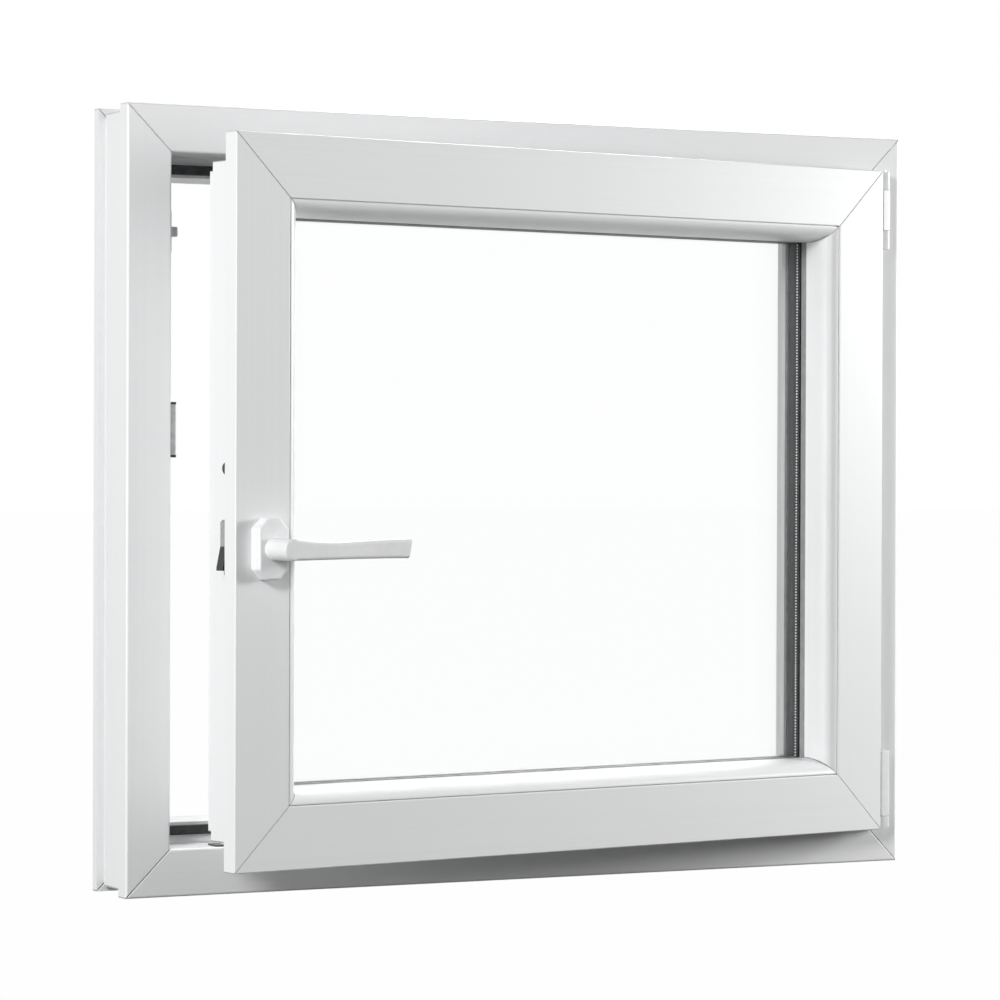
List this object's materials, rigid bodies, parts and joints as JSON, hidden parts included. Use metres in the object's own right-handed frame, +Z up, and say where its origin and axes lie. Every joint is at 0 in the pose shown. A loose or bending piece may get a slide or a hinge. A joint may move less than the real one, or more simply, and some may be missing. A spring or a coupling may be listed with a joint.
{
  "type": "side-hung basement window",
  "caption": "White plastic basement window with a side-hung double-glazed sash standing ajar, lever handle, corner hinges and gaskets.",
  "frame": {"origin": "under the middle of the sill, at mid depth of the room-side fixing lip", "axes": "+X along the sill to the hinge side, +Y from the room to the outside, +Z up"},
  "size_m": [0.915, 0.2969, 0.8],
  "materials": {
    "profile_white": "smooth white extruded plastic, satin gloss, welded mitres",
    "gasket_rubber": "matt black sealing strip",
    "glazing": "clear float glass",
    "spacer_dark": "dark warm-edge spacer with a row of fine holes",
    "handle_white": "white powder-coated handle",
    "gear_steel": "zinc-plated steel, dull silver",
    "cam_dark": "dark plated steel and black keep plastic",
    "hinge_white": "light grey-white hinge covers"
  },
  "bodies": {
    "root": {"frame_sill": "profile_white", "frame_head": "profile_white", "frame_lock_jamb": "profile_white", "frame_hinge_jamb": "profile_white", "sash_bottom_rail": "profile_white", "sash_top_rail": "profile_white", "sash_lock_stile": "profile_white", "sash_hinge_stile": "profile_white", "bead_bottom": "profile_white", "bead_top": "profile_white", "bead_left": "profile_white", "bead_right": "profile_white", "frame_gasket": "gasket_rubber", "sash_gasket": "gasket_rubber", "bead_gasket": "gasket_rubber", "flange_gasket": "gasket_rubber", "glass_edge_seal": "gasket_rubber", "inner_pane": "glazing", "outer_pane": "glazing", "glass_spacer": "spacer_dark", "handle_rose": "handle_white", "handle_lever": "handle_white", "gear_plate_left": "gear_steel", "gear_plate_top": "gear_steel", "gear_plate_bottom": "gear_steel", "keep_upper": "gear_steel", "keep_strike": "gear_steel", "stay_arm": "gear_steel", "top_hinge_pin": "gear_steel", "locking_cam": "cam_dark", "handle_guard": "cam_dark", "keep_middle": "cam_dark", "keep_tilt": "cam_dark", "top_hinge_bearing": "hinge_white", "stay_knuckle": "hinge_white", "bottom_hinge_bearing": "hinge_white", "bottom_hinge_band": "hinge_white"}
  },
  "joints": []
}
